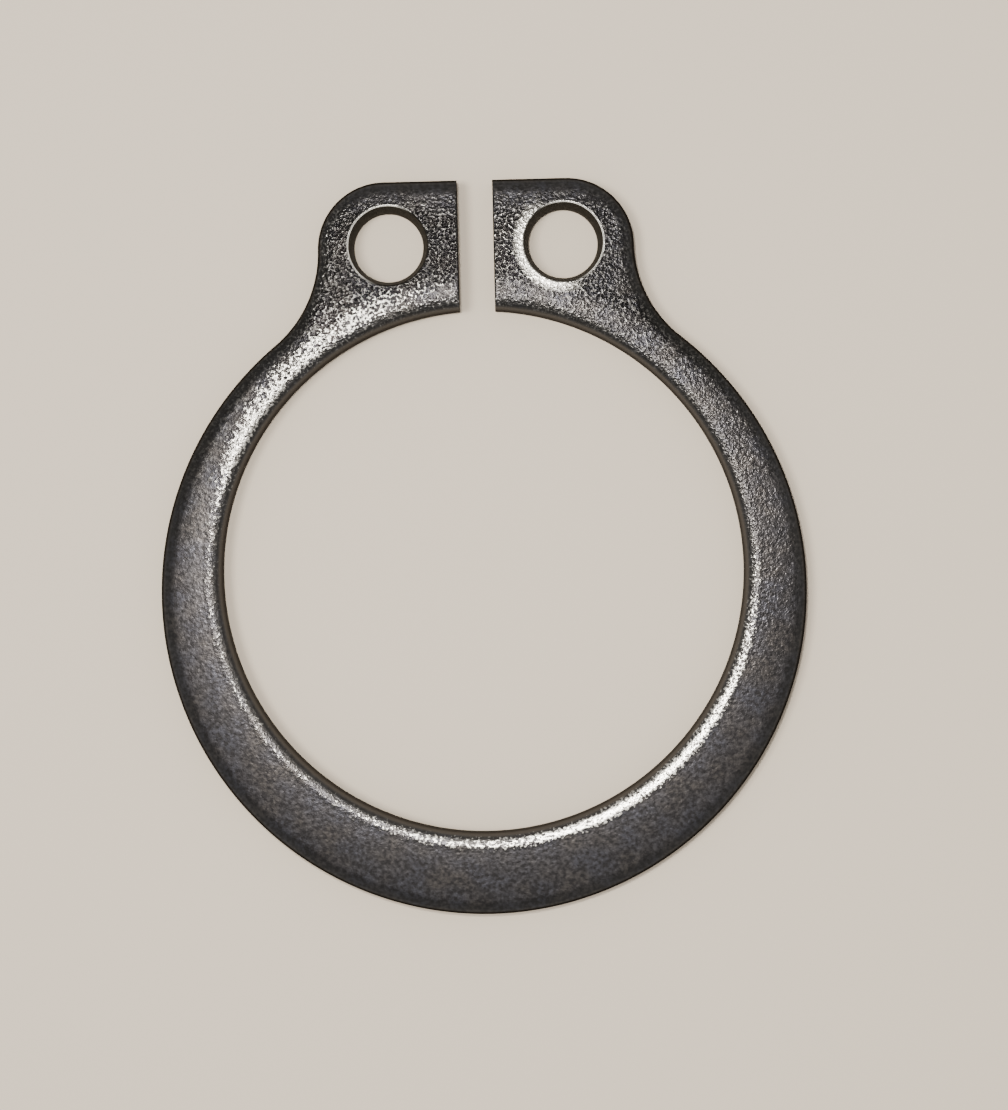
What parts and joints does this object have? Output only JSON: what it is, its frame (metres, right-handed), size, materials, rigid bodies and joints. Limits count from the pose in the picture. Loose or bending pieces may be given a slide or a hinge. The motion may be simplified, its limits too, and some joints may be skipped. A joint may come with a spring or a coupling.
{
  "type": "circlip retaining ring",
  "caption": "Flat external retaining ring of spring steel: an open ring that tapers towards its gap, with rounded lugs drilled for circlip pliers.",
  "frame": {"origin": "on the axis of the ring's inner circle, on its under face", "axes": "+Z out of the rounded upper face, +Y from the ring's centre to the gap between the lugs, +X across the gap"},
  "size_m": [0.0182, 0.0206, 0.001],
  "materials": {
    "spring_steel": "oil-blackened and tumbled, dark grey with bright worn grain along the rounded edges"
  },
  "bodies": {
    "root": {"retaining_ring": "spring_steel"}
  },
  "joints": []
}
